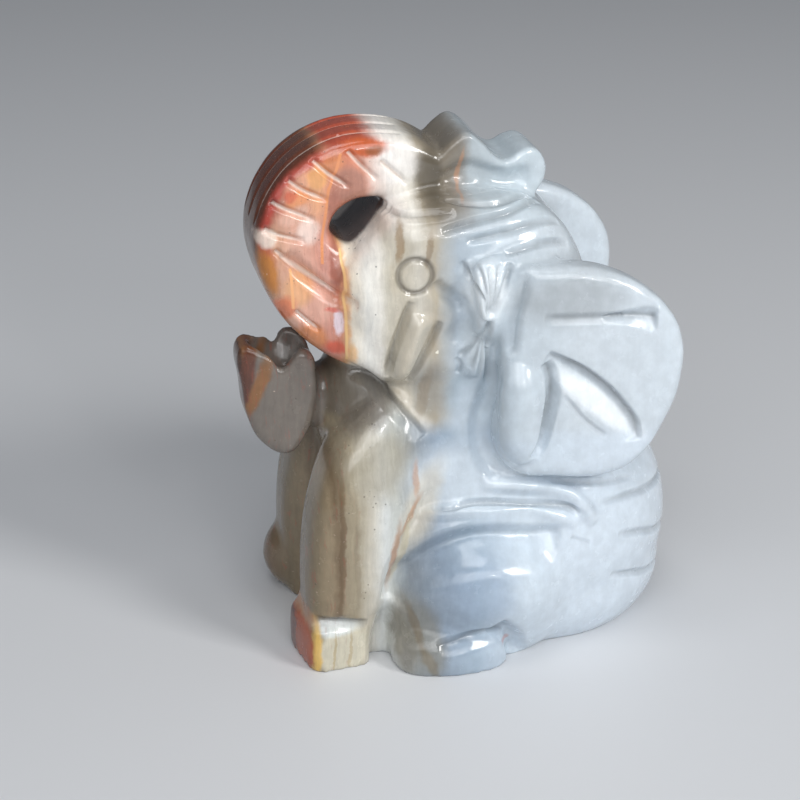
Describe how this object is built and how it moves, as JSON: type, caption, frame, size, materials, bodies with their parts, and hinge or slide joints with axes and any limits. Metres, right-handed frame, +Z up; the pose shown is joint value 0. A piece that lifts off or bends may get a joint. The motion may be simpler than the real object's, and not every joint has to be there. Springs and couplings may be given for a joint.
{
  "type": "gemstone elephant figurine",
  "caption": "Palm-sized sitting elephant carved from banded stone, its trunk curled up and back over its head, on a flat base.",
  "frame": {"origin": "middle of the bounding box, on the flat underside the figure stands on", "axes": "+Z up; the elephant faces -Y; +X is its left side"},
  "size_m": [0.0296, 0.0407, 0.0482],
  "materials": {
    "banded_stone": "polished"
  },
  "bodies": {
    "root": {"elephant": "banded_stone"}
  },
  "joints": []
}
